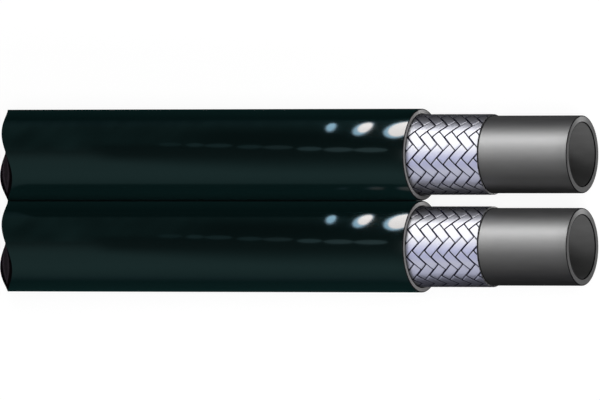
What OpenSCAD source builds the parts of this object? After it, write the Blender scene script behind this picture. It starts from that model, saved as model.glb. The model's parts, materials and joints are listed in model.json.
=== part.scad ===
// Twin-line hydraulic hose, cut back in steps at one end and broken off at the other.
// Two equal hoses lie side by side along X, bonded together in the valley between them.
// Each hose is an inner tube, one braid of flat wire strands and a smooth cover.
// Origin: middle of the outline, on the surface that the hoses lie on. +X is the stepped end.

/* [Hose layers] */
// Bore of each inner tube (half-inch nominal size)
bore_d = 12.7; // [8:0.1:26]
// Wall of the inner tube
tube_wall = 1.41; // [0.8:0.01:4]
// Wall of the cover
cover_wall = 1.1; // [0.5:0.05:4]

/* [Braid] */
// Number of strands that wind each way round one hose (even)
strands_each_way = 18; // [12:2:24]
// Angle between a strand and the hose's axis
braid_angle = 45.7; // [35:0.1:58]
// Gap between two strands that run side by side
strand_gap = 0.26; // [0.05:0.01:0.6]
// Thickness of one flat strand
strand_thickness = 0.13; // [0.06:0.01:0.3]
// Radial clearance between two strands that cross
crossing_gap = 0.03; // [0.01:0.005:0.1]

/* [Lengths] */
// Covered length, from the middle of the broken end to the edge of the cover
covered_length = 93.2; // [40:0.1:400]
// Length of braid that shows past the cover
bare_braid_length = 15.7; // [4:0.1:20]
// Length of inner tube that shows past the braid
bare_tube_length = 19.5; // [4:0.1:60]

/* [Pair] */
// Gap between the two covers where they come closest
cover_gap = 0.08; // [0.02:0.01:1]
// Height of the bond between the covers, across the pair's flat
bond_height = 3.2; // [1:0.1:6]
// Distance that the bond stops short of the covers' edges
bond_setback = 0.6; // [0:0.1:10]

/* [Broken end] */
// Slope of the broken end, away from square
break_slope = 27.5; // [0:0.5:35]
// Depth of the S wave across the broken end
break_wave = 1.2; // [0:0.05:2]
// Distance that the middle of the broken end stands proud of its sides
break_crown = 0.5; // [0:0.05:2]

/* [Hidden] */

$fn = 360;

tube_r = bore_d / 2 + tube_wall;

// The strands' crossings form a grid on the tube. Each strand's place is counted along both
// winding directions: s runs along the left-hand strands, t along the right-hand ones.
grid_r = tube_r + strand_thickness + crossing_gap;
grid_pitch = PI * grid_r / (strands_each_way * sin(braid_angle));
half_span = (grid_pitch - strand_gap / sin(2 * braid_angle)) / 2;
// A row of left-hand strands lies along the top of the hose, with a crossing just past the cover.
grid_turn = -90 / strands_each_way;
grid_start = 0.16;

// Flat facets dip below their corners, so the first layer's corners stand off the tube by that
// dip and by seat_gap.
seat_gap = 0.005;
facet_half_angle = (180 / PI) * half_span * sin(braid_angle) / grid_r;
under_r = tube_r / cos(facet_half_angle) + seat_gap;
over_r = under_r + strand_thickness + crossing_gap;
braid_r = over_r + strand_thickness;
cover_r = braid_r + cover_wall;
pitch = 2 * cover_r + cover_gap;

braid_end = covered_length + bare_braid_length;
tube_end = braid_end + bare_tube_length;

// The broken end is one wavy surface through all layers, laid on a square grid of facets. Its
// cutter is wider than the cover, and deeper than the blanks that it cuts reach back.
break_cells = 12;
break_half = 1.1 * cover_r;
break_back = 2 * cover_r;
blank_back = 1.5 * cover_r;
cut_overrun = 1;
bond_facets = 8;
// The largest value of sin(turn) * pow(cos(turn), 3), which shapes the wave.
wave_peak = 3 * sqrt(3) / 16;

function break_x(y, z) =
    tan(break_slope) * z
    + break_crown * pow(y / cover_r, 2)
    - break_wave * (y / cover_r) * pow(z / cover_r, 3) / wave_peak;

break_lowest = min([for (turn = [0:1:359]) break_x(cover_r * sin(turn), cover_r * cos(turn))]);
hose_start = -(tube_end + break_lowest) / 2;

function break_corner(i) = break_half * (2 * i / break_cells - 1);

// Everything beyond the broken end, for one hose on the X axis.
module break_cutter() {
    row = break_cells + 1;
    layer = row * row;
    front = [for (j = [0:break_cells], i = [0:break_cells])
        [break_x(break_corner(i), break_corner(j)), break_corner(i), break_corner(j)]];
    back = [for (j = [0:break_cells], i = [0:break_cells])
        [-break_back, break_corner(i), break_corner(j)]];
    cells = [for (j = [0:break_cells - 1], i = [0:break_cells - 1]) j * row + i];
    rim = concat(
        [for (i = [0:break_cells - 1]) i],
        [for (j = [0:break_cells - 1]) j * row + break_cells],
        [for (i = [break_cells:-1:1]) break_cells * row + i],
        [for (j = [break_cells:-1:1]) j * row]
    );
    front_faces = [for (c = cells, half = [0, 1])
        half == 0 ? [c, c + row + 1, c + 1] : [c, c + row, c + row + 1]];
    side_faces = [for (k = [0:len(rim) - 1])
        let (a = rim[k], b = rim[(k + 1) % len(rim)])
        [a, b, b + layer, a + layer]];
    back_faces = [for (c = cells, half = [0, 1])
        [for (k = half == 0 ? [c, c + 1, c + row + 1] : [c, c + row + 1, c + row]) k + layer]];
    polyhedron(points = concat(front, back), faces = concat(front_faces, side_faces, back_faces));
}

// A round layer of one hose from the broken end to x = end, on the X axis.
module layer_blank(outer_r, inner_r, end) {
    difference() {
        translate([-blank_back, 0, 0]) rotate([0, 90, 0])
            difference() {
                cylinder(r = outer_r, h = end + blank_back);
                translate([0, 0, -cut_overrun])
                    cylinder(r = inner_r, h = end + blank_back + 2 * cut_overrun);
            }
        break_cutter();
    }
}

// Hose a is on the +Y side and hose b on the -Y side.
module at_hose(side) {
    translate([hose_start, side * pitch / 2, cover_r]) children();
}

// A point of the braid, from its place on the grid and its radius.
function braid_point(s, t, r) =
    let (turn = grid_turn + (180 / PI) * (s - t) * sin(braid_angle) / grid_r)
    [(s + t) * cos(braid_angle), r * sin(turn), r * cos(turn)];

// Every strand goes over two crossings and under two. The steps shift by one from strand to strand.
function is_over(along, across, left_hand) =
    let (step = left_hand ? along - across : across - along, phase = ((step % 4) + 4) % 4)
    left_hand ? phase < 2 : phase >= 2;

// One flat strand, from crossing number first to crossing number last.
module strand(number, first, last, left_hand) {
    across = number * grid_pitch;
    // A crossing has a cut at each edge where the strand changes level, and else at mid-gap.
    cuts = [for (k = [first:last])
        let (
            over = is_over(k, number, left_hand),
            r = over ? over_r : under_r,
            climbs = over != is_over(k - 1, number, left_hand),
            drops = over != is_over(k + 1, number, left_hand)
        )
        each concat(
            [[climbs ? k * grid_pitch - half_span : (k - 0.5) * grid_pitch, r]],
            drops ? [[k * grid_pitch + half_span, r]] : []
        )
    ];
    rings = [for (cut = cuts)
        [for (corner = [[-1, 0], [1, 0], [1, 1], [-1, 1]])
            let (
                side = across + corner[0] * half_span,
                radius = cut[1] + corner[1] * strand_thickness
            )
            left_hand ? braid_point(cut[0], side, radius) : braid_point(side, cut[0], radius)]
    ];
    count = len(rings);
    // Each wall quad is split along the hose's axis, so that its facets hug the tube.
    walls = [for (k = [0:count - 2], c = [0:3], half = [0, 1])
        let (a = 4 * k + c, b = 4 * k + (c + 1) % 4)
        c == 2
            ? (half == 0 ? [a, b, a + 4] : [b, b + 4, a + 4])
            : (half == 0 ? [a, b, b + 4] : [a, b + 4, a + 4])
    ];
    ends = [[3, 2, 1, 0], [for (c = [0:3]) 4 * (count - 1) + c]];
    faces = concat(walls, ends);
    polyhedron(
        points = [for (ring = rings, point = ring) point],
        faces = left_hand ? faces : [for (face = faces) [for (k = [len(face) - 1:-1:0]) face[k]]]
    );
}

// The strands of one hand on the bare stretch of braid, cut off square at both ends.
module bare_strands(left_hand) {
    reach = bare_braid_length / (cos(braid_angle) * grid_pitch);
    intersection() {
        translate([covered_length + grid_start, 0, 0])
            for (number = [0:strands_each_way - 1])
                strand(number, -number - 2, ceil(reach) - number + 1, left_hand);
        translate([covered_length, -cover_r, -cover_r])
            cube([bare_braid_length, 2 * cover_r, 2 * cover_r]);
    }
}

module inner_tube(side) {
    color([0.30, 0.30, 0.31]) at_hose(side) layer_blank(tube_r, bore_d / 2, tube_end);
}

// Under the cover, the braid is one plain sleeve of the strands' outer and inner size.
module covered_braid(side) {
    color([0.62, 0.63, 0.70]) at_hose(side) layer_blank(braid_r, tube_r, covered_length);
}

module left_hand_strands(side) {
    color([0.80, 0.80, 0.88]) at_hose(side) bare_strands(true);
}

module right_hand_strands(side) {
    color([0.72, 0.73, 0.80]) at_hose(side) bare_strands(false);
}

module cover(side) {
    color([0.04, 0.09, 0.09]) at_hose(side) layer_blank(cover_r, braid_r, covered_length);
}

// The bond fills the valley between the covers. Its flat facets only just touch their round sides.
module bond_web() {
    length = covered_length - bond_setback + blank_back;
    edge_turn = asin(bond_height / 2 / cover_r);
    facet_turn = 2 * edge_turn / bond_facets;
    facet_r = cover_r / cos(facet_turn / 2);
    hollow_side = [for (turn = [-edge_turn:facet_turn:edge_turn + facet_turn / 2])
        [facet_r * sin(turn), pitch / 2 - facet_r * cos(turn)]];
    other_side = [for (k = [len(hollow_side) - 1:-1:0]) [hollow_side[k][0], -hollow_side[k][1]]];
    color([0.03, 0.06, 0.06])
        difference() {
            translate([hose_start - blank_back, 0, cover_r]) rotate([90, 0, 90])
                linear_extrude(height = length)
                    polygon([for (point = concat(hollow_side, other_side)) [point[1], point[0]]]);
            for (side = [-1, 1]) at_hose(side) break_cutter();
        }
}

inner_tube(1);  // inner_tube_a
inner_tube(-1);  // inner_tube_b
covered_braid(1);  // covered_braid_a
covered_braid(-1);  // covered_braid_b
left_hand_strands(1);  // left_hand_strands_a
left_hand_strands(-1);  // left_hand_strands_b
right_hand_strands(1);  // right_hand_strands_a
right_hand_strands(-1);  // right_hand_strands_b
cover(1);  // cover_a
cover(-1);  // cover_b
bond_web();
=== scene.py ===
"""The looks of a twin-line hydraulic hose stub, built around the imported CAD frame.

Two equal hoses lie side by side along X. Each has an inner tube, a braid of flat wire strands
and a glossy cover, cut back in steps at +X and broken off at -X. All lengths are in metres.
"""

import json
import math

import bmesh
import bpy
import numpy as np
from mathutils import Matrix, Vector, noise

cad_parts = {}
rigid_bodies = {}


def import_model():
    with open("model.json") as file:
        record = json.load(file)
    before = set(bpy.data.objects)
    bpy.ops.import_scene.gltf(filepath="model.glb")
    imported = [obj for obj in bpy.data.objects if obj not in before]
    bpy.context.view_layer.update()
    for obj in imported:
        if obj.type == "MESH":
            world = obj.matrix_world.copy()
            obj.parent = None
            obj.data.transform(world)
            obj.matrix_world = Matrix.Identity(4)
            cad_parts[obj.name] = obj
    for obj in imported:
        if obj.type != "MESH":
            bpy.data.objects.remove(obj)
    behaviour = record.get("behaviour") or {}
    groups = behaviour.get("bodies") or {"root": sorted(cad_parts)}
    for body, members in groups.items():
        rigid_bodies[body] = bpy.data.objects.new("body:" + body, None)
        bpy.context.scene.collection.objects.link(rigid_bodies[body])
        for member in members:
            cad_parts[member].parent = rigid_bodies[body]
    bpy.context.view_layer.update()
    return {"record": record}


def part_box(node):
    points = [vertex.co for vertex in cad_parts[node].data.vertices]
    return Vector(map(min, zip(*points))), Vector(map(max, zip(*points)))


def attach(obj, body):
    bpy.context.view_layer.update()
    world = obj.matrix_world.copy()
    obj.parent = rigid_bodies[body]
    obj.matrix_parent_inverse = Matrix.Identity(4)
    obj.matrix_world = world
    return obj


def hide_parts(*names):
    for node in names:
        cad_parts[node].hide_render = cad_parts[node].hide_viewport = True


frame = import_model()

MM = 0.001

# ---------------------------------------------------------------------------
# Sizes, read from the frame
# ---------------------------------------------------------------------------


def radius_of(node):
    low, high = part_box(node)
    return (high.z - low.z) / 2


def mount(name):
    return next(m for m in frame["record"]["mounts"] if m["name"] == name)


SIDES = {"a": 1, "b": -1}

tube_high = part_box("inner_tube_a")[1]
cover_low, cover_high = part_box("cover_a")
strand_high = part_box("left_hand_strands_a")[1]

BORE_R = mount("bore_a")["dims"]["r_mm"] * MM
HOSE_LENGTH = mount("bore_a")["dims"]["length_mm"] * MM
TUBE_R = radius_of("inner_tube_a")
BRAID_R = radius_of("covered_braid_a")
COVER_R = radius_of("cover_a")
AXIS_Y = (cover_low.y + cover_high.y) / 2
AXIS_Z = (cover_low.z + cover_high.z) / 2
COVER_END = cover_high.x
BRAID_END = strand_high.x
TUBE_END = tube_high.x
HOSE_START = TUBE_END - HOSE_LENGTH

# ---------------------------------------------------------------------------
# Sizes that the frame doesn't give, as in the part's source
# ---------------------------------------------------------------------------

BREAK_SLOPE = math.radians(27.5)
BREAK_WAVE = 1.2 * MM
BREAK_CROWN = 0.5 * MM
# The largest value of sin(turn) * cos(turn) ** 3, which shapes the wave.
WAVE_PEAK = 3 * math.sqrt(3) / 16

STRANDS_EACH_WAY = 18
BRAID_ANGLE = math.radians(45.7)
STRAND_GAP = 0.26 * MM
STRAND_THICKNESS = 0.13 * MM
CROSSING_GAP = 0.03 * MM
GRID_START = 0.16 * MM
GRID_TURN = -math.pi / 2 / STRANDS_EACH_WAY
GRID_R = TUBE_R + STRAND_THICKNESS + CROSSING_GAP
GRID_PITCH = math.pi * GRID_R / (STRANDS_EACH_WAY * math.sin(BRAID_ANGLE))
HALF_SPAN = (GRID_PITCH - STRAND_GAP / math.sin(2 * BRAID_ANGLE)) / 2
OVER_R = BRAID_R - STRAND_THICKNESS
UNDER_R = OVER_R - STRAND_THICKNESS - CROSSING_GAP

BOND_HEIGHT = 3.2 * MM
BOND_SETBACK = 0.6 * MM


def link_object(name, data):
    """Puts a mesh, a lamp or the camera into the scene."""
    linked = bpy.data.objects.new(name, data)
    bpy.context.scene.collection.objects.link(linked)
    return linked


# ---------------------------------------------------------------------------
# Camera: the photograph's view, from above and turned towards the stepped end
# ---------------------------------------------------------------------------

IMAGE_WIDTH_PX = 600
IMAGE_HEIGHT_PX = 400
VIEW_TURN = math.radians(25.5)
LENS_MM = 1000
SENSOR_MM = 36
CLIP_FACTOR = 10
# The cover is 91.4 pixels across in the photograph, the tube's end face is centred on x = 582.4,
# and the middle of the pair is on y = 200.6.
COVER_WIDTH_PX = 91.4
TUBE_END_X_PX = 582.4
PAIR_MIDDLE_Y_PX = 200.6

PX = 2 * COVER_R / COVER_WIDTH_PX
CAMERA_DISTANCE = IMAGE_WIDTH_PX * PX * LENS_MM / SENSOR_MM
VIEW_RIGHT = Vector((math.cos(VIEW_TURN), 0, -math.sin(VIEW_TURN)))
VIEW_UP = Vector((0, 1, 0))
VIEW_BACK = VIEW_RIGHT.cross(VIEW_UP)


def view_middle():
    """The point in the middle of the picture, which puts the tube's end where it should be."""
    offset = (TUBE_END_X_PX - IMAGE_WIDTH_PX / 2) * PX
    reach = offset * CAMERA_DISTANCE / (CAMERA_DISTANCE * VIEW_RIGHT.x + offset * VIEW_BACK.x)
    return Vector((TUBE_END - reach, (PAIR_MIDDLE_Y_PX - IMAGE_HEIGHT_PX / 2) * PX, AXIS_Z))


VIEW_MIDDLE = view_middle()
CAMERA_PLACE = VIEW_MIDDLE + VIEW_BACK * CAMERA_DISTANCE


def add_camera():
    data = bpy.data.cameras.new("camera")
    data.lens = LENS_MM
    data.sensor_width = SENSOR_MM
    data.clip_start = CAMERA_DISTANCE / CLIP_FACTOR
    data.clip_end = CAMERA_DISTANCE * CLIP_FACTOR
    camera = link_object("camera", data)
    turn = Matrix((VIEW_RIGHT, VIEW_UP, VIEW_BACK)).transposed().to_4x4()
    camera.matrix_world = Matrix.Translation(CAMERA_PLACE) @ turn
    bpy.context.scene.camera = camera


# ---------------------------------------------------------------------------
# Materials
# ---------------------------------------------------------------------------

# The sockets of a Mix node that mixes colours, by number: several of them share each name.
MIX_FACTOR, MIX_FIRST, MIX_SECOND = 0, 6, 7
MIX_RESULT = 2


class Shader:
    """One Principled material, with short calls to add the nodes that feed it."""

    def __init__(self, name, **values):
        self.material = bpy.data.materials.new(name)
        self.material.use_nodes = True
        self.tree = self.material.node_tree
        self.principled = self.tree.nodes["Principled BSDF"]
        for socket, value in values.items():
            self.principled.inputs[socket.replace("_", " ")].default_value = value

    def node(self, kind, **settings):
        made = self.tree.nodes.new(kind)
        for name, value in settings.items():
            setattr(made, name, value)
        return made

    def link(self, source, target):
        self.tree.links.new(source, target)

    def drive(self, socket, source):
        self.link(source, self.principled.inputs[socket])

    def place(self, stretch=(1, 1, 1)):
        """The point's place on the object, stretched along each axis."""
        coordinates = self.node("ShaderNodeTexCoord")
        mapping = self.node("ShaderNodeMapping")
        mapping.inputs["Scale"].default_value = stretch
        self.link(coordinates.outputs["Object"], mapping.inputs["Vector"])
        return mapping.outputs["Vector"]

    def attribute(self, name):
        return self.node("ShaderNodeAttribute", attribute_name=name).outputs["Fac"]

    def noise(self, scale, detail=2.0, stretch=(1, 1, 1)):
        made = self.node("ShaderNodeTexNoise")
        made.inputs["Scale"].default_value = scale
        made.inputs["Detail"].default_value = detail
        self.link(self.place(stretch), made.inputs["Vector"])
        return made.outputs["Fac"]

    def ranged(self, source, source_range, target_range, kind="LINEAR"):
        """source, mapped from one range to another and kept inside it."""
        made = self.node("ShaderNodeMapRange", interpolation_type=kind)
        self.link(source, made.inputs["Value"])
        made.inputs["From Min"].default_value, made.inputs["From Max"].default_value = source_range
        made.inputs["To Min"].default_value, made.inputs["To Max"].default_value = target_range
        return made.outputs["Result"]

    def mixed(self, factor, first, second):
        """A colour between two colours. Each is a colour or another node's output."""
        made = self.node("ShaderNodeMix", data_type="RGBA")
        self.link(factor, made.inputs[MIX_FACTOR])
        for number, colour in ((MIX_FIRST, first), (MIX_SECOND, second)):
            if isinstance(colour, bpy.types.NodeSocket):
                self.link(colour, made.inputs[number])
            else:
                made.inputs[number].default_value = (*colour, 1)
        return made.outputs[MIX_RESULT]

    def bump(self, height, distance, strength=1.0):
        made = self.node("ShaderNodeBump")
        made.inputs["Strength"].default_value = strength
        made.inputs["Distance"].default_value = distance
        self.link(height, made.inputs["Height"])
        self.drive("Normal", made.outputs["Normal"])

    def edge_faded_gloss(self, level, full_at, none_at):
        """The gloss fades out where the surface turns away, between two Layer Weight values."""
        weight = self.node("ShaderNodeLayerWeight").outputs["Facing"]
        faded = self.ranged(weight, (full_at, none_at), (level, 0), kind="SMOOTHSTEP")
        self.drive("Specular IOR Level", faded)


def cover_skin():
    """Glossy black with a green tint, and a faint sheen that lifts its edges."""
    made = Shader(
        "cover_skin", Roughness=0.18, Sheen_Weight=0.04, Sheen_Roughness=0.7,
        Sheen_Tint=(0.3, 1.0, 1.0, 1),
    )
    cloud = made.noise(scale=60, detail=3, stretch=(0.4, 1, 1))
    made.drive("Base Color", made.mixed(cloud, (0.0001, 0.0012, 0.0012), (0.0004, 0.0028, 0.0027)))
    made.edge_faded_gloss(0.5, full_at=0.3, none_at=0.45)
    made.bump(made.noise(scale=150, detail=1, stretch=(0.5, 1, 1)), distance=0.001 * MM)
    return made.material


def tube_skin():
    made = Shader("tube_skin", Roughness=0.45)
    grain = made.noise(scale=900, detail=3, stretch=(0.3, 1, 1))
    made.drive("Base Color", made.mixed(grain, (0.02, 0.02, 0.021), (0.03, 0.03, 0.03)))
    made.edge_faded_gloss(0.9, full_at=0.3, none_at=0.6)
    made.bump(grain, distance=0.02 * MM, strength=0.3)
    return made.material


def cut_rubber(name, dark, light):
    """A sawn face of hose rubber, with a fine grain. Its grey is far lighter than the same rubber's
    skin:
    partly the matt cut, partly painted light.
    """
    made = Shader(name, Roughness=0.75, Specular_IOR_Level=0.3)
    grain = made.noise(scale=2500, detail=4)
    made.drive("Base Color", made.mixed(grain, dark, light))
    made.bump(grain, distance=0.03 * MM, strength=0.4)
    return made.material


def bore_skin():
    made = Shader("bore_skin", Roughness=0.5, Specular_IOR_Level=0.4)
    grain = made.noise(scale=700, detail=2, stretch=(0.3, 1, 1))
    made.drive("Base Color", made.mixed(grain, (0.21, 0.21, 0.21), (0.29, 0.29, 0.29)))
    return made.material


def painted_shade_rubber():
    """Painted shade: dark outlines on the cut faces' rounded edges and rims, a painted shadow on
    the tube's skin under and just past the braid's end, and the hidden braid sleeve.
    """
    made = Shader("painted_shade_rubber", Roughness=0.8, Specular_IOR_Level=0.0)
    # A mottle in the painted shade.
    shade_mottle = made.noise(scale=1500, detail=3)
    made.drive("Base Color", made.mixed(shade_mottle, (0.006, 0.006, 0.007), (0.016, 0.016, 0.017)))
    return made.material


def deep_rubber():
    """Painted shade: the bore beyond the length that light reaches, coloured near black."""
    made = Shader("deep_rubber", Roughness=0.8, Specular_IOR_Level=0.0)
    # A mottle in the painted shade.
    shade_mottle = made.noise(scale=1500, detail=3)
    made.drive("Base Color", made.mixed(shade_mottle, (0.003, 0.0025, 0.003), (0.006, 0.005, 0.006)))
    return made.material


def broken_rubber():
    """The torn faces of the broken end."""
    made = Shader("broken_rubber", Roughness=0.9, Specular_IOR_Level=0.0)
    crumbs = made.noise(scale=1200, detail=5)
    made.drive("Base Color", made.mixed(crumbs, (0.007, 0.0055, 0.007), (0.013, 0.0105, 0.013)))
    made.bump(crumbs, distance=0.08 * MM, strength=0.6)
    return made.material


def bond_glue():
    made = Shader("bond_glue", Roughness=0.35)
    cloud = made.noise(scale=300, detail=3, stretch=(0.4, 1, 1))
    made.drive("Base Color", made.mixed(cloud, (0.0012, 0.004, 0.004), (0.003, 0.008, 0.008)))
    made.bump(cloud, distance=0.04 * MM)
    return made.material


def wire_ends():
    """The strands' cut ends: bright dots of wire."""
    made = Shader("wire_ends", Metallic=0.8, Roughness=0.5)
    dots = made.node("ShaderNodeTexVoronoi")
    dots.inputs["Scale"].default_value = 5000
    made.link(made.place(), dots.inputs["Vector"])
    grey = made.ranged(dots.outputs["Distance"], (0.2, 0.6), (0.75, 0.3))
    made.drive("Base Color", grey)
    return made.material


WIRES_IN_STRAND = 8


def braid_wire():
    """Flat bundles of bright wire. Their sunken ends are coloured near black and their sides dark:
    painted shade in the recesses of the weave.
    """
    made = Shader("braid_wire", Metallic=1.0, Roughness=0.4, Specular_Tint=(0.0, 0.0, 0.0, 1))
    across = made.attribute("across")
    level = made.attribute("level")
    cloud = made.noise(scale=500, detail=3)
    steel = made.mixed(cloud, (0.25, 0.25, 0.265), (0.28, 0.28, 0.295))
    # Painted shade: where a strand dips below the crossing ones, its colour goes near black.
    sunken_shade = made.ranged(level, (0.4, 0.9), (0, 1), kind="SMOOTHSTEP")
    made.drive("Base Color", made.mixed(sunken_shade, (0.012, 0.012, 0.02), steel))
    wires = made.node("ShaderNodeMath", operation="SINE")
    turns = made.node("ShaderNodeMath", operation="MULTIPLY")
    turns.inputs[1].default_value = WIRES_IN_STRAND * math.pi
    made.link(across, turns.inputs[0])
    made.link(turns.outputs[0], wires.inputs[0])
    made.bump(wires.outputs[0], distance=0.004 * MM, strength=0.5)
    return made.material


def strand_side():
    # Painted shade: the strands' sides are coloured dark, so dark lines show between the strands.
    made = Shader("strand_side", Metallic=0.6, Roughness=0.6)
    shade_mottle = made.noise(scale=1500, detail=3)
    made.drive("Base Color", made.mixed(shade_mottle, (0.01, 0.01, 0.018), (0.02, 0.02, 0.034)))
    return made.material


# ---------------------------------------------------------------------------
# Mesh helpers
# ---------------------------------------------------------------------------

SHARP_ANGLE = math.radians(35)


def smooth(value, low, high):
    """0 up to low, 1 from high, and a smooth step between them."""
    share = min(max((value - low) / (high - low), 0), 1)
    return share * share * (3 - 2 * share)


def place_piece(name, mesh, replaced):
    """Makes the mesh a piece that rides on the hose's body and stands for one CAD node."""
    mesh.shade_smooth()
    mesh.set_sharp_from_angle(angle=SHARP_ANGLE)
    piece = link_object(name, mesh)
    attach(piece, "root")
    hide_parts(replaced)


def mesh_piece(name, points, faces, materials, face_materials, replaced):
    """Makes a piece from its points, its faces and the number of each face's material."""
    mesh = bpy.data.meshes.new(name)
    mesh.from_pydata(points, [], faces)
    for material in materials:
        mesh.materials.append(material)
    mesh.polygons.foreach_set("material_index", face_materials)
    mesh.validate()
    place_piece(name, mesh, replaced)


def break_x(y, z):
    """How far the broken end reaches at a point across one hose, measured from its axis."""
    return (
        math.tan(BREAK_SLOPE) * z
        + BREAK_CROWN * (y / COVER_R) ** 2
        - BREAK_WAVE * (y / COVER_R) * (z / COVER_R) ** 3 / WAVE_PEAK
    )


# ---------------------------------------------------------------------------
# Round layers: inner tube, hidden braid sleeve and cover
# ---------------------------------------------------------------------------

# Steps round a layer, and along each stretch of its outline.
SEGMENTS = 192
FACE_STEPS = 6
SKIN_STEPS = 24
SHOWN_SKIN_STEPS = 8
BORE_STEPS = 8
BEVEL_STEPS = 4
# Each cut face has a dark rim beside its rounded edges: painted shade, drawn as a dark outline.
RIM = 0.07 * MM
# Beyond this depth from the square cut, the bore is coloured dark: painted shade.
BORE_LIT_DEPTH = 35 * MM
# The layers' surfaces, as places in their lists of materials. The last two are painted shade: dark
# outlines and shadow, and the unlit deep bore.
BREAK_FACE, SKIN, CUT_FACE, BORE, SHADE, DEEP = range(6)


def bevel(radius, direction, size):
    """(r, distance short of the end) along a rounded edge, from the skin to the cut face."""
    return [
        (radius - direction * size * (1 - math.cos(turn)), size * (1 - math.sin(turn)))
        for turn in np.linspace(0, math.pi / 2, BEVEL_STEPS + 1)
    ]


def layer_stations(outer_r, inner_r, edge, dark_short):
    """The layer's outline, as (r, share of the length, distance short of it, surface). Its skin is
    coloured dark, painted shade, up to dark_short before its end, if that isn't None."""
    outer_edge, inner_edge = bevel(outer_r, 1, edge), bevel(inner_r, -1, edge)
    outer_rim, inner_rim = outer_edge[-1][0], inner_edge[-1][0]
    stations = [(r, 0, 0, BREAK_FACE) for r in np.linspace(inner_r, outer_r, FACE_STEPS)[:-1]]
    first_short, first_surface = (edge, SKIN) if dark_short is None else (dark_short, SHADE)
    shares = np.linspace(0, 1, SKIN_STEPS)[:-1]
    stations += [(outer_r, f, first_short * f, first_surface) for f in shares]
    if dark_short is not None:
        shorts = np.linspace(dark_short, edge, SHOWN_SKIN_STEPS)[:-1]
        stations += [(outer_r, 1, short, SKIN) for short in shorts]
    stations += [(r, 1, short, SHADE) for r, short in outer_edge]
    stations += [(outer_rim - RIM, 1, 0, CUT_FACE), (inner_rim + RIM, 1, 0, SHADE)]
    stations += [(r, 1, short, SHADE) for r, short in reversed(inner_edge)]
    stations += [(inner_r, 1, edge + RIM, BORE)]
    shares = np.linspace(1, 0, BORE_STEPS)[:-1]
    stations += [(inner_r, f, BORE_LIT_DEPTH * f, DEEP) for f in shares]
    return stations


def layer(name, side, outer_r, inner_r, end_x, edge, materials, replaced, dark_to=None):
    """A round layer of one hose, from its broken end to a square cut. Its skin is coloured dark,
    painted shade, up to the place dark_to."""
    dark_short = None if dark_to is None else end_x - dark_to
    stations = layer_stations(outer_r, inner_r, edge, dark_short)
    turns = np.linspace(0, 2 * math.pi, SEGMENTS, endpoint=False)
    points = []
    for r, share, short, _ in stations:
        for turn in turns:
            y, z = r * math.sin(turn), r * math.cos(turn)
            start = HOSE_START + break_x(y, z)
            x = start + (end_x - start) * share - short
            points.append((x, side * AXIS_Y + y, AXIS_Z + z))
    faces, surfaces = [], []
    count = len(stations)
    for k, station in enumerate(stations):
        here, ahead = k * SEGMENTS, ((k + 1) % count) * SEGMENTS
        for i in range(SEGMENTS):
            j = (i + 1) % SEGMENTS
            faces.append((here + i, here + j, ahead + j, ahead + i))
            surfaces.append(station[3])
    mesh_piece(name, points, faces, materials, surfaces, replaced)


# ---------------------------------------------------------------------------
# Braid
# ---------------------------------------------------------------------------

STEPS_IN_CELL = 14
# A strand dives from over to under, or climbs back, round the middle between two crossings.
DIVE_HALF_WIDTH = 0.12
CUT_TOLERANCE = 1e-9
# The strand's cross-section, from one side over the top to the other and back underneath:
# (share of the half width, share of the thickness).
STRAND_SECTION = [
    (-1.0, 0.25), (-0.98, 0.65), (-0.94, 0.92), (-0.86, 0.995), (-0.8, 1.0), (0.0, 1.0),
    (0.8, 1.0), (0.86, 0.995), (0.94, 0.92), (0.98, 0.65), (1.0, 0.25), (0.92, 0.0), (-0.92, 0.0),
]
TOP_FACES = range(2, 8)
# The strands' surfaces, as places in their list of materials.
TOP, SIDE, CUT = range(3)


def braid_point(s, t, r):
    """A point of the braid on the X axis, from its place on the weave's grid and its radius."""
    turn = GRID_TURN + (s - t) * math.sin(BRAID_ANGLE) / GRID_R
    return ((s + t) * math.cos(BRAID_ANGLE), r * math.sin(turn), r * math.cos(turn))


def is_over(along, across, left_hand):
    """Every strand goes over two crossings and under two."""
    phase = (along - across if left_hand else across - along) % 4
    return phase < 2 if left_hand else phase >= 2


def strand_level(place, number, left_hand):
    """1 where the strand lies on top, 0 where it lies below, at a place counted in crossings."""
    here = math.floor(place)
    step = smooth(place - here, 0.5 - DIVE_HALF_WIDTH, 0.5 + DIVE_HALF_WIDTH)
    first = is_over(here, number, left_hand)
    second = is_over(here + 1, number, left_hand)
    return first + (second - first) * step


def strand_mesh(bm, layers, number, left_hand, reach):
    """Adds one strand that winds from before the braid's start to past its end."""
    across_layer, level_layer = layers
    first, last = -number - 2, math.ceil(reach) - number + 1
    steps = (last - first) * STEPS_IN_CELL
    rings = []
    for k in range(steps + 1):
        place = first + k / STEPS_IN_CELL
        level = strand_level(place, number, left_hand)
        base_r = UNDER_R + (OVER_R - UNDER_R) * level
        ring = []
        for share, height in STRAND_SECTION:
            along = place * GRID_PITCH
            across = number * GRID_PITCH + share * HALF_SPAN
            radius = base_r + height * STRAND_THICKNESS
            s, t = (along, across) if left_hand else (across, along)
            vert = bm.verts.new(braid_point(s, t, radius))
            vert[across_layer] = share
            vert[level_layer] = level
            ring.append(vert)
        rings.append(ring)
    size = len(STRAND_SECTION)
    for ring, ahead in zip(rings, rings[1:]):
        for c in range(size):
            d = (c + 1) % size
            corners = (ring[c], ring[d], ahead[d], ahead[c])
            face = bm.faces.new(corners if left_hand else corners[::-1])
            face.material_index = TOP if c in TOP_FACES else SIDE
    for ring in (rings[0], rings[-1]):
        bm.faces.new(ring).material_index = CUT


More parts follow.
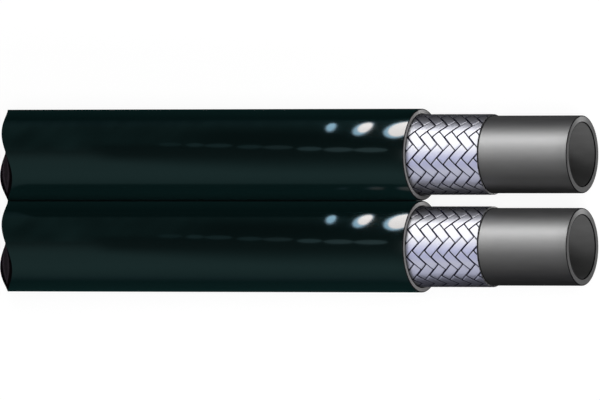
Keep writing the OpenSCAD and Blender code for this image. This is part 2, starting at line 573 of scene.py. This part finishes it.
def cut_square(bm, x, keep_right):
    """Cuts the strands off at x, and closes each cut."""
    made = bmesh.ops.bisect_plane(
        bm,
        geom=bm.verts[:] + bm.edges[:] + bm.faces[:],
        plane_co=(x, 0, 0),
        plane_no=(1, 0, 0),
        dist=CUT_TOLERANCE,
        clear_inner=keep_right,
        clear_outer=not keep_right,
    )
    edges = [e for e in made["geom_cut"] if isinstance(e, bmesh.types.BMEdge)]
    closed = bmesh.ops.holes_fill(bm, edges=edges, sides=0)
    for face in closed["faces"]:
        face.material_index = CUT


def strands(name, side, left_hand, materials, replaced):
    """The strands of one hand on the bare stretch of braid."""
    bare_length = BRAID_END - COVER_END
    reach = bare_length / (math.cos(BRAID_ANGLE) * GRID_PITCH)
    bm = bmesh.new()
    layers = [bm.verts.layers.float.new(n) for n in ("across", "level")]
    for number in range(STRANDS_EACH_WAY):
        strand_mesh(bm, layers, number, left_hand, reach)
    bmesh.ops.translate(bm, verts=bm.verts, vec=(COVER_END + GRID_START, side * AXIS_Y, AXIS_Z))
    cut_square(bm, COVER_END, keep_right=True)
    cut_square(bm, BRAID_END, keep_right=False)
    bmesh.ops.recalc_face_normals(bm, faces=bm.faces)
    mesh = bpy.data.meshes.new(name)
    bm.to_mesh(mesh)
    bm.free()
    for material in materials:
        mesh.materials.append(material)
    place_piece(name, mesh, replaced)


# ---------------------------------------------------------------------------
# Bond
# ---------------------------------------------------------------------------

BOND_SIDE_STEPS = 8
BOND_RINGS = 60
# How far its top and bottom are hollowed.
BOND_MENISCUS = 0.25 * MM


def bond(material):
    """Glue in the valley between the covers, hollowed along its top and bottom."""
    edge_turn = math.asin(BOND_HEIGHT / 2 / COVER_R)
    turns = np.linspace(-edge_turn, edge_turn, BOND_SIDE_STEPS + 1)
    right = [(AXIS_Y - COVER_R * math.cos(t), COVER_R * math.sin(t)) for t in turns]
    top = [(0, BOND_HEIGHT / 2 - BOND_MENISCUS)]
    left = [(-y, z) for y, z in reversed(right)]
    bottom = [(0, -BOND_HEIGHT / 2 + BOND_MENISCUS)]
    section = right + top + left + bottom
    size = len(section)
    end_x = COVER_END - BOND_SETBACK
    points = []
    for share in np.linspace(0, 1, BOND_RINGS):
        for y, z in section:
            start = HOSE_START + max(break_x(y - AXIS_Y, z), break_x(y + AXIS_Y, z))
            points.append((start + (end_x - start) * share, y, AXIS_Z + z))
    faces = []
    for k in range(BOND_RINGS - 1):
        here, ahead = k * size, (k + 1) * size
        for c in range(size):
            d = (c + 1) % size
            faces.append((here + c, here + d, ahead + d, ahead + c))
    faces.append(tuple(reversed(range(size))))
    faces.append(tuple(range((BOND_RINGS - 1) * size, BOND_RINGS * size)))
    mesh_piece("bond", points, faces, [material], [0] * len(faces), "bond_web")


# ---------------------------------------------------------------------------
# Hoses
# ---------------------------------------------------------------------------

COVER_EDGE = 0.12 * MM
TUBE_EDGE = 0.13 * MM
SLEEVE_EDGE = 0.02 * MM
# A painted shadow line that the braid's end leaves on the tube: its skin stays dark this far past
# it.
BRAID_SHADOW_LINE = 0.22 * MM


def build_hoses():
    skin = cover_skin()
    tube = tube_skin()
    cover_cut = cut_rubber("cover_cut", (0.2, 0.195, 0.195), (0.29, 0.285, 0.285))
    tube_cut = cut_rubber("tube_cut", (0.17, 0.17, 0.17), (0.25, 0.25, 0.25))
    bore = bore_skin()
    dark = painted_shade_rubber()
    deep = deep_rubber()
    broken = broken_rubber()
    wire = [braid_wire(), strand_side(), wire_ends()]
    for letter, side in SIDES.items():
        layer(
            f"tube_{letter}", side, TUBE_R, BORE_R, TUBE_END, TUBE_EDGE,
            [broken, tube, tube_cut, bore, dark, deep], f"inner_tube_{letter}",
            dark_to=BRAID_END + BRAID_SHADOW_LINE,
        )
        layer(
            f"braid_sleeve_{letter}", side, BRAID_R, TUBE_R, COVER_END, SLEEVE_EDGE,
            [broken, dark, dark, dark, dark, deep], f"covered_braid_{letter}",
        )
        layer(
            f"outer_cover_{letter}", side, COVER_R, BRAID_R, COVER_END, COVER_EDGE,
            [broken, skin, cover_cut, dark, dark, deep], f"cover_{letter}",
        )
        strands(f"left_strands_{letter}", side, True, wire, f"left_hand_strands_{letter}")
        strands(f"right_strands_{letter}", side, False, wire, f"right_hand_strands_{letter}")
    bond(bond_glue())


# ---------------------------------------------------------------------------
# Studio: floor, world and lamps
# ---------------------------------------------------------------------------

FLOOR_HALF = 20.0
FLOOR_COLOUR = (0.18, 0.18, 0.18, 1)
FLOOR_GLOW = 0.9


def add_floor():
    """A white floor. It glows, and the lamps' light adds the rest of its white, less in shadow."""
    mesh = bpy.data.meshes.new("floor")
    corners = [(x * FLOOR_HALF, y * FLOOR_HALF, 0) for x, y in ((-1, -1), (1, -1), (1, 1), (-1, 1))]
    mesh.from_pydata(corners, [], [(0, 1, 2, 3)])
    material = bpy.data.materials.new("floor_white")
    material.use_nodes = True
    tree = material.node_tree
    principled = tree.nodes["Principled BSDF"]
    principled.inputs["Base Color"].default_value = FLOOR_COLOUR
    principled.inputs["Roughness"].default_value = 1.0
    principled.inputs["Specular IOR Level"].default_value = 0.0
    principled.inputs["Emission Color"].default_value = (1, 1, 1, 1)
    rays = tree.nodes.new("ShaderNodeLightPath").outputs
    seen = rays["Is Camera Ray"]
    for name in ("Is Glossy Ray", "Is Transmission Ray"):
        either = tree.nodes.new("ShaderNodeMath")
        either.operation = "MAXIMUM"
        tree.links.new(seen, either.inputs[0])
        tree.links.new(rays[name], either.inputs[1])
        seen = either.outputs[0]
    glow = tree.nodes.new("ShaderNodeMath")
    glow.operation = "MULTIPLY"
    glow.inputs[1].default_value = FLOOR_GLOW
    tree.links.new(seen, glow.inputs[0])
    tree.links.new(glow.outputs[0], principled.inputs["Emission Strength"])
    mesh.materials.append(material)
    floor = link_object("floor", mesh)


WORLD_DIM = 0.02
# The world is white below the first height over the horizon, and dim above the second.
HORIZON_TOP = math.sin(math.radians(2))
HORIZON_FADE = math.sin(math.radians(5))


def add_world():
    """A studio that is white round the horizon and dim overhead, the same for every kind of ray."""
    world = bpy.data.worlds.new("studio")
    bpy.context.scene.world = world
    world.use_nodes = True
    tree = world.node_tree
    background = tree.nodes["Background"]
    background.inputs["Color"].default_value = (1, 1, 1, 1)
    coordinates = tree.nodes.new("ShaderNodeTexCoord")
    split = tree.nodes.new("ShaderNodeSeparateXYZ")
    band = tree.nodes.new("ShaderNodeMapRange")
    tree.links.new(coordinates.outputs["Generated"], split.inputs[0])
    tree.links.new(split.outputs["Z"], band.inputs["Value"])
    band.inputs["From Min"].default_value = HORIZON_TOP
    band.inputs["From Max"].default_value = HORIZON_FADE
    band.inputs["To Min"].default_value = 1.0
    band.inputs["To Max"].default_value = WORLD_DIM
    tree.links.new(band.outputs["Result"], background.inputs["Strength"])


# Black flags lie and stand beside the hoses. Only gloss sees them, and they keep the white floor
# and horizon out of it.
FLAG_X = (-0.7, 0.4)
# Each flag lies just over the floor, from beside a hose's axis to its reach, and stands up there.
FLAG_FROM_AXIS = 4 * MM
FLAG_LIFT = 0.3 * MM
FLAG_REACH = 0.6
FLAG_HEIGHT = 0.12
FLAG_GLOW = (0.02, 0.02, 0.035, 1)


def add_flags():
    material = bpy.data.materials.new("flag_black")
    material.use_nodes = True
    principled = material.node_tree.nodes["Principled BSDF"]
    principled.inputs["Base Color"].default_value = (0, 0, 0, 1)
    principled.inputs["Specular IOR Level"].default_value = 0.0
    principled.inputs["Emission Color"].default_value = FLAG_GLOW
    principled.inputs["Emission Strength"].default_value = 1.0
    near = AXIS_Y + FLAG_FROM_AXIS
    profile = [(near, FLAG_LIFT), (FLAG_REACH, FLAG_LIFT), (FLAG_REACH, FLAG_HEIGHT)]
    for letter, side in SIDES.items():
        points = [(x, side * y, z) for y, z in profile for x in FLAG_X]
        mesh = bpy.data.meshes.new(f"flag_{letter}")
        mesh.from_pydata(points, [], [(0, 1, 3, 2), (2, 3, 5, 4)])
        mesh.materials.append(material)
        flag = link_object(f"flag_{letter}", mesh)
        seen_only_in_gloss(flag)


def seen_only_in_gloss(source):
    for rays in ("camera", "diffuse", "transmission", "volume_scatter", "shadow"):
        setattr(source, f"visible_{rays}", False)


def light_only(source, starts):
    """The lamp or glowing card lights only the objects whose names start so."""
    receivers = bpy.data.collections.new(source.name + "_receivers")
    for lit in bpy.context.scene.objects:
        if lit.name.startswith(starts):
            receivers.objects.link(lit)
    source.light_linking.receiver_collection = receivers


NEUTRAL = (1.0, 1.0, 1.0)
PALE_BLUE = (0.78, 0.8, 1.0)
MID_BLUE = (0.74, 0.76, 1.0)
LAVENDER = (0.6, 0.64, 1.0)


def area_lamp(name, shape, place, axes, size, radiance, colour, lights):
    """A flat lamp at place. Its axes point along it, up it and out of its back. radiance is its
    brightness as a mirror shows it."""
    data = bpy.data.lights.new(name, "AREA")
    data.shape = shape
    data.size, data.size_y = size
    filled = math.pi / 4 if shape == "ELLIPSE" else 1
    data.energy = radiance * size[0] * size[1] * filled * math.pi
    data.color = colour
    lamp = link_object(name, data)
    lamp.matrix_world = Matrix.Translation(place) @ Matrix(axes).transposed().to_4x4()
    lamp.visible_camera = False
    if lights:
        light_only(lamp, lights)
    return lamp


def add_lamp(name, place, aim, size, radiance, colour=NEUTRAL, lights=None):
    """A soft lamp at place, turned to aim. Its first side lies along the hoses."""
    back = (Vector(place) - Vector(aim)).normalized()
    along = Vector((1, 0, 0))
    along = (along - back * along.dot(back)).normalized()
    axes = (along, back.cross(along), back)
    return area_lamp(name, "RECTANGLE", place, axes, size, radiance, colour, lights)


def in_mirror(x, side, turn, radius, distance):
    """The place that the camera sees mirrored at x and turn on one hose, so far from its skin."""
    normal = Vector((0, math.sin(turn), math.cos(turn)))
    spot = Vector((x, side * AXIS_Y, AXIS_Z)) + radius * normal
    view = (CAMERA_PLACE - spot).normalized()
    return spot + (2 * view.dot(normal) * normal - view) * distance


STRIP_DISTANCE = 0.5
STRIP_SIZE = (0.5, 0.13)
# Two walls of light strips. Each strip has the turn from a layer's top, in degrees, at which the
# camera sees it mirrored, its radiance and its colour.
TUBE_WALL = [
    (32, 3.5, NEUTRAL),
    (24, 15.5, NEUTRAL),
    (16, 7.5, NEUTRAL),
    (8, 3.5, NEUTRAL),
    (0, 3.4, NEUTRAL),
    (-8, 0.8, NEUTRAL),
    (-16, 0.8, NEUTRAL),
    (-24, 0.4, NEUTRAL),
    (-32, 0.3, NEUTRAL),
]
BRAID_WALL = [
    (40, 1.5, PALE_BLUE),
    (32, 9.4, NEUTRAL),
    (24, 2.2, NEUTRAL),
    (16, 5.6, NEUTRAL),
    (8, 3.5, NEUTRAL),
    (0, 3.0, MID_BLUE),
    (-8, 2.0, LAVENDER),
    (-16, 2.0, LAVENDER),
    (-24, 2.3, NEUTRAL),
    (-32, 2.0, PALE_BLUE),
    (-40, 2.6, PALE_BLUE),
]


def light_wall(name, strips, lights):
    middle = (COVER_END + TUBE_END) / 2
    aim = (middle, 0, AXIS_Z)
    for number, (turn, radiance, colour) in enumerate(strips):
        place = in_mirror(middle, 0, math.radians(turn), COVER_R, STRIP_DISTANCE)
        add_lamp(f"{name}{number}", place, aim, STRIP_SIZE, radiance, colour, lights)


# Small lamps close to each cut face brighten its +Y side. This is how far they stand off it.
RING_LAMP_OFF = Vector((3.5, -0.2, 0.5)) * MM
RING_LAMP_SIZE = (2 * MM, 2 * MM)
RING_LAMP_RADIANCE = 10.0


def add_ring_lamps():
    rings = (
        ("tube_ring", "tube", TUBE_R, TUBE_END),
        ("cover_ring", "outer_cover", COVER_R, COVER_END),
    )
    for letter, side in SIDES.items():
        for name, piece, radius, end in rings:
            aim = Vector((end, side * AXIS_Y + radius, AXIS_Z))
            add_lamp(
                f"{name}_{letter}", aim + RING_LAMP_OFF, aim, RING_LAMP_SIZE, RING_LAMP_RADIANCE,
                lights=f"{piece}_{letter}",
            )


def cover_place(px, py):
    """The x and the turn at which a pixel of the photograph shows the upper hose's cover."""
    right, up = (px - IMAGE_WIDTH_PX / 2) * PX, (PAIR_MIDDLE_Y_PX - py) * PX
    turn = math.asin((up - AXIS_Y) / COVER_R)
    return VIEW_MIDDLE.x + (right + COVER_R * math.cos(turn) * VIEW_BACK.x) / VIEW_RIGHT.x, turn


def cover_mirrors(px, py, side, distance):
    """The place, so far from the skin, that the cover mirrors at a pixel of the photograph."""
    x, turn = cover_place(px, py)
    return in_mirror(x, side, turn, COVER_R, distance)


GLINT_DISTANCE = 3.6 * MM


def glint(name, centre, length, breadth, tilt, colour):
    """For each hose, a small oval lamp close to the cover, which the camera sees mirrored in it.
    Its centre, half length and half breadth are in pixels of the photograph, its tilt in
    degrees."""
    px, py = centre
    cos_tilt, sin_tilt = math.cos(math.radians(tilt)), math.sin(math.radians(tilt))
    reaches = [(length * cos_tilt, -length * sin_tilt), (-breadth * sin_tilt, -breadth * cos_tilt)]
    radiance = max(colour)
    for letter, side in SIDES.items():
        halves = [
            (cover_mirrors(px + reach_x, py + reach_y, side, GLINT_DISTANCE)
             - cover_mirrors(px - reach_x, py - reach_y, side, GLINT_DISTANCE)) / 2
            for reach_x, reach_y in reaches
        ]
        # The two halves aren't square to each other. The oval's own axes are.
        axes, half_sizes, _ = np.linalg.svd(np.array(halves).T, full_matrices=False)
        along, up = Vector(axes[:, 0]), Vector(axes[:, 1])
        place = cover_mirrors(px, py, side, GLINT_DISTANCE)
        if along.cross(up).dot(place - cover_mirrors(px, py, side, 0)) < 0:
            up = -up
        lamp = area_lamp(
            f"{name}_{letter}", "ELLIPSE", place, (along, up, along.cross(up)), 2 * half_sizes,
            radiance, [c / radiance for c in colour], f"outer_cover_{letter}",
        )
        seen_only_in_gloss(lamp)


CARD_DISTANCE = 25 * MM


def glow_card(name, material, grid, spot):
    """For each hose, a glowing card beside it that the camera sees mirrored in the cover. spot
    gives the pixel of the photograph and the colour, for two shares of the card's grid."""
    columns, rows = grid
    pixels, colours = [], []
    for k in range(rows + 1):
        for i in range(columns + 1):
            px, py, colour = spot(i / columns, k / rows)
            pixels.append((px, py))
            colours.append((*colour, 1.0))
    faces = []
    for k in range(rows):
        here, ahead = k * (columns + 1), (k + 1) * (columns + 1)
        for i in range(columns):
            faces.append((here + i, here + i + 1, ahead + i + 1, ahead + i))
    for letter, side in SIDES.items():
        points = [cover_mirrors(px, py, side, CARD_DISTANCE) for px, py in pixels]
        mesh = bpy.data.meshes.new(f"{name}_{letter}")
        mesh.from_pydata([tuple(point) for point in points], [], faces)
        glow = mesh.color_attributes.new("glow", "FLOAT_COLOR", "POINT")
        glow.data.foreach_set("color", [value for colour in colours for value in colour])
        mesh.materials.append(material)
        card = link_object(f"{name}_{letter}", mesh)
        seen_only_in_gloss(card)
        light_only(card, f"outer_cover_{letter}")


def glow_material():
    """It only adds its glow, so that cards in front of others hide nothing."""
    material = bpy.data.materials.new("card_glow")
    material.use_nodes = True
    tree = material.node_tree
    tree.nodes.remove(tree.nodes["Principled BSDF"])
    colour = tree.nodes.new("ShaderNodeAttribute")
    colour.attribute_name = "glow"
    glow = tree.nodes.new("ShaderNodeEmission")
    clear = tree.nodes.new("ShaderNodeBsdfTransparent")
    both = tree.nodes.new("ShaderNodeAddShader")
    tree.links.new(colour.outputs["Color"], glow.inputs["Color"])
    tree.links.new(glow.outputs[0], both.inputs[0])
    tree.links.new(clear.outputs[0], both.inputs[1])
    tree.links.new(both.outputs[0], tree.nodes["Material Output"].inputs["Surface"])
    return material


# The white ovals near the cover's edge, each of two or three glints that add up, in pixels of the
# photograph: centre, half length, half breadth, tilt in degrees and glow.
OVAL_HALO = (1.5, 2.3, 2.9)
OVAL_BLUE = (3.2, 5.6, 7.2)
OVAL_WARM = (12.0, 8.0, 5.5)
OVALS = [
    ((330.8, 127.5), 6.6, 4.4, 32, OVAL_HALO),
    ((330.9, 127.3), 5.0, 3.2, 32, OVAL_BLUE),
    ((362.6, 128.5), 12.4, 5.9, 27, OVAL_HALO),
    ((362.4, 128.6), 10.8, 4.6, 27, OVAL_BLUE),
    ((364.8, 127.6), 8.0, 4.2, 27, OVAL_WARM),
    ((401.0, 129.5), 19.4, 8.4, 14, OVAL_HALO),
    ((400.6, 129.8), 17.8, 7.1, 14, OVAL_BLUE),
    ((403.0, 129.2), 15.8, 6.6, 14, OVAL_WARM),
]
# Faint level dashes between the ovals and the lower band: centre, half length, half breadth and
# glow.
DASH_TILT = 0
DASHES = [
    ((170.0, 144.4), 12.0, 1.8, (0.05, 0.12, 0.13)),
    ((195.0, 145.0), 9.0, 1.9, (0.1, 0.22, 0.24)),
    ((218.5, 145.6), 14.0, 1.9, (0.1, 0.22, 0.24)),
    ((250.0, 146.9), 13.0, 1.9, (0.1, 0.22, 0.24)),
    ((278.0, 147.5), 15.0, 1.9, (0.14, 0.26, 0.28)),
    ((309.5, 149.0), 12.5, 2.0, (0.24, 0.46, 0.5)),
    ((338.5, 149.8), 15.0, 2.2, (0.3, 0.52, 0.56)),
    ((370.5, 150.2), 17.0, 2.2, (0.34, 0.58, 0.62)),
]


def add_glints():
    for number, (centre, length, breadth, tilt, colour) in enumerate(OVALS):
        glint(f"oval{number}", centre, length, breadth, tilt, colour)
    for number, (centre, length, breadth, colour) in enumerate(DASHES):
        glint(f"dash{number}", centre, length, breadth, DASH_TILT, colour)


# The dull bands along the cover, in columns and rows of pixels of the photograph. Pairs of columns
# or rows are where a band's card, or a smooth step in its glow, starts and ends.
BAND_PX = (-30, 440)

# The lower band is broad and even. It fades in down the cover, and its fade lies lower further
# right: START_DROP and END_DROP are how much lower it starts and ends there.
LOWER_GRID = (48, 24)
LOWER_PY = (145, 193)
LOWER_COLOUR = (0.17, 0.34, 0.34)
FADE_IN_PY = (146, 164)
START_DROP = 8
START_DROP_PX = (90, 110)
END_DROP = 12
END_DROP_PX = (60, 300)
FADE_OUT_PY = (173, 195)

# The upper band is cloudy at the left, and thin further right. Each kind has an even glow and what
# the streaks add to it.
UPPER_GRID = (160, 16)
UPPER_PY = (110, 150)
UPPER_COLOUR = (0.06, 0.16, 0.16)
CLOUDY_TO_THIN_PX = (150, 230)
CLOUDY_EVEN, CLOUDY_STREAKS = 0.2, 0.9
CLOUDY_DIMMED = 0.2
CLOUDY_DIMMED_PX = (90, 130)
CLOUDY_HEM_PX = (80, 100)
CLOUDY_HEM_PY = (141, 148)
THIN_EVEN, THIN_STREAKS = 0.4, 0.8
THIN_FADE_PY = (120, 136)
STREAK_TILT = math.radians(50)
STREAK_SIZE = (26, 6)
STREAK_RANGE = (-0.4, 0.5)


def between(ends, share):
    """The value at a share of the way from one end to the other."""
    return ends[0] + (ends[1] - ends[0]) * share


def lower_band(along, across):
    """A pixel of the lower band and its glow, for two shares of the band."""
    px, py = between(BAND_PX, along), between(LOWER_PY, across)
    fade_start = FADE_IN_PY[0] + START_DROP * smooth(px, *START_DROP_PX)
    fade_end = FADE_IN_PY[1] + END_DROP * smooth(px, *END_DROP_PX)
    strength = smooth(py, fade_start, fade_end) * (1 - smooth(py, *FADE_OUT_PY))
    return px, py, [strength * c for c in LOWER_COLOUR]


def streak(px, py):
    """Slanting clouds between 0 and 1."""
    cos_tilt, sin_tilt = math.cos(STREAK_TILT), math.sin(STREAK_TILT)
    along, across = px * cos_tilt - py * sin_tilt, px * sin_tilt + py * cos_tilt
    cloud = noise.noise(Vector((along / STREAK_SIZE[0], across / STREAK_SIZE[1], 0)))
    return smooth(cloud, *STREAK_RANGE)


def upper_band(along, across):
    """A pixel of the upper band and its glow, for two shares of the band."""
    px, py = between(BAND_PX, along), between(UPPER_PY, across)
    streaks = streak(px, py)
    cloudy = CLOUDY_EVEN + CLOUDY_STREAKS * streaks
    cloudy *= 1 - CLOUDY_DIMMED * smooth(px, *CLOUDY_DIMMED_PX)
    cloudy *= 1 - smooth(py, *CLOUDY_HEM_PY) * smooth(px, *CLOUDY_HEM_PX)
    thin = (THIN_EVEN + THIN_STREAKS * streaks) * (1 - smooth(py, *THIN_FADE_PY))
    strength = between((cloudy, thin), smooth(px, *CLOUDY_TO_THIN_PX))
    return px, py, [strength * c for c in UPPER_COLOUR]


def add_bands(material):
    glow_card("lower_band", material, LOWER_GRID, lower_band)
    glow_card("upper_band", material, UPPER_GRID, upper_band)


# Soft strips over the hoses give each cover a highlight in side views. The photograph's view, whose
# mirror images lie between them along X, shows neither.
SIDE_STRIP_X = {"top_strip": 0.0, "turned_strip": -1.0}
SIDE_STRIP_Z = 1.0
SIDE_STRIP_SIZE = (0.3, 0.5)
SIDE_STRIP_RADIANCE = 2.0
SIDE_STRIP_TINT = (0.75, 1.0, 1.0)


def add_side_strips():
    for name, x in SIDE_STRIP_X.items():
        strip = add_lamp(
            name, (x, 0, SIDE_STRIP_Z), (0, 0, AXIS_Z), SIDE_STRIP_SIZE, SIDE_STRIP_RADIANCE,
            SIDE_STRIP_TINT, "outer_cover",
        )
        seen_only_in_gloss(strip)


STRAND_PIECES = ("left_strands", "right_strands")
# The soft main lamp is overhead, on the stepped end's side, where no hose mirrors it to the camera.
# It lights all but the tubes, which have a wall of strips of their own.
OVERHEAD_PLACE = (0.75, 0.15, 1.5)
OVERHEAD_SIZE = (1.1, 1.4)
OVERHEAD_RADIANCE = 4.0
OVERHEAD_LIGHTS = ("floor", "outer_cover", "braid_sleeve", "bond", *STRAND_PIECES)
# A smaller one lights the end faces and the bores.
END_LIGHT_PLACE = (0.75, -0.6, 0.4)
END_LIGHT_SIZE = (0.4, 0.4)
END_LIGHT_RADIANCE = 8.5


def add_lamps():
    add_lamp(
        "overhead", OVERHEAD_PLACE, (0, 0, AXIS_Z), OVERHEAD_SIZE, OVERHEAD_RADIANCE,
        lights=OVERHEAD_LIGHTS,
    )
    add_lamp(
        "end_light", END_LIGHT_PLACE, (TUBE_END, 0, AXIS_Z), END_LIGHT_SIZE, END_LIGHT_RADIANCE,
    )
    add_ring_lamps()
    light_wall("tube_strip", TUBE_WALL, "tube")
    light_wall("braid_strip", BRAID_WALL, STRAND_PIECES)
    add_side_strips()
    add_glints()
    add_bands(glow_material())


# ---------------------------------------------------------------------------
# The scene
# ---------------------------------------------------------------------------

bpy.context.scene.view_settings.view_transform = "Standard"
add_camera()
build_hoses()
add_floor()
add_flags()
add_world()
add_lamps()
